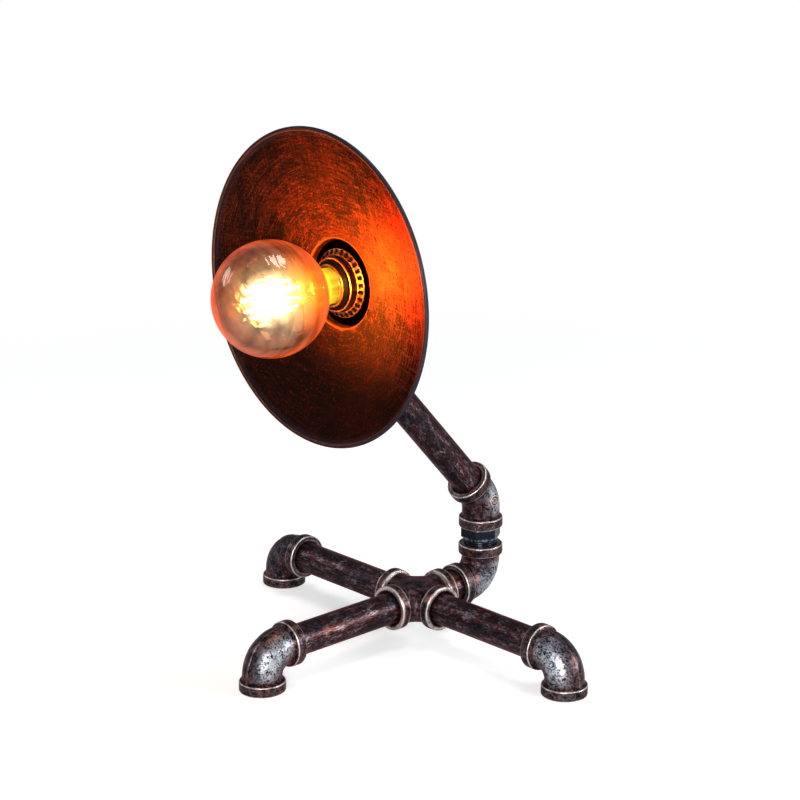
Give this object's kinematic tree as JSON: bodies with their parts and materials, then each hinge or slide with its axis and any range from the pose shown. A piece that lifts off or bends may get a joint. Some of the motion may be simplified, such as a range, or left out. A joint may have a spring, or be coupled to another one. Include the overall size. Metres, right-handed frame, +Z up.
{
  "type": "pipe table lamp",
  "caption": "Table lamp of threaded iron pipe and cast fittings on elbow feet, with a leaning arm, a saucer shade that faces forward and a clear globe bulb.",
  "frame": {"origin": "on the table, under the middle of the bounding box", "axes": "+Z up, -Y the way the shade and the bulb face, +X to the right of someone who looks along +Y at the lamp's front"},
  "size_m": [0.3472, 0.2686, 0.4075],
  "materials": {
    "aged_iron": "aged casting, dark brown with worn pewter edges and copper patches",
    "pipe_iron": "brushed pipe, dark brown with pewter streaks and copper patches",
    "black_iron": "black oxide, satin",
    "rubber": "matt",
    "brass": "satin, slightly tarnished",
    "porcelain": "moulded insulator, satin",
    "copper_shade": "antique copper with fine circular scratches, dark outer lip",
    "glass": "clear amber, glossy",
    "wire": "bright",
    "filament": "glowing"
  },
  "bodies": {
    "base": {"cross_fitting": "aged_iron", "front_leg": "pipe_iron", "left_leg": "pipe_iron", "right_leg": "pipe_iron", "front_foot": "aged_iron", "left_foot": "aged_iron", "right_foot": "aged_iron", "rear_nipple": "pipe_iron", "riser_elbow": "aged_iron", "cord_grommet": "rubber", "base_flex": "rubber"},
    "arm": {"lower_hex_nipple": "black_iron", "lower_angle_elbow": "aged_iron", "arm_pipe": "pipe_iron", "upper_angle_elbow": "aged_iron", "arm_flex": "rubber"},
    "head": {"upper_hex_nipple": "black_iron", "head_casting": "aged_iron", "head_flex": "rubber", "holder_set_screw": "black_iron", "holder_shell": "brass", "holder_core": "porcelain", "screw_shell": "brass", "centre_contact": "brass", "terminal_screws": "brass", "shade_ring": "brass", "shade": "copper_shade"},
    "bulb": {"bulb_glass": "glass", "bulb_cap": "brass", "bulb_insulator": "porcelain", "bulb_tip": "wire", "bulb_stem": "glass", "lead_wires": "wire", "support_wires": "wire", "filament": "filament"}
  },
  "joints": [
    {"name": "arm_swing", "type": "hinge", "parent": "base", "child": "arm", "pos_m": [0, 0.11714, 0.0603], "axis": [0, 0, 1], "range_deg": [-45, 45]},
    {"name": "head_turn", "type": "hinge", "parent": "arm", "child": "head", "pos_m": [0, 0.00326, 0.248], "axis": [0, 0, 1], "range_deg": [-90, 90]},
    {"name": "bulb_out", "type": "slide", "parent": "head", "child": "bulb", "axis": [0, -1, 0], "range_m": [0, 0.03]}
  ]
}
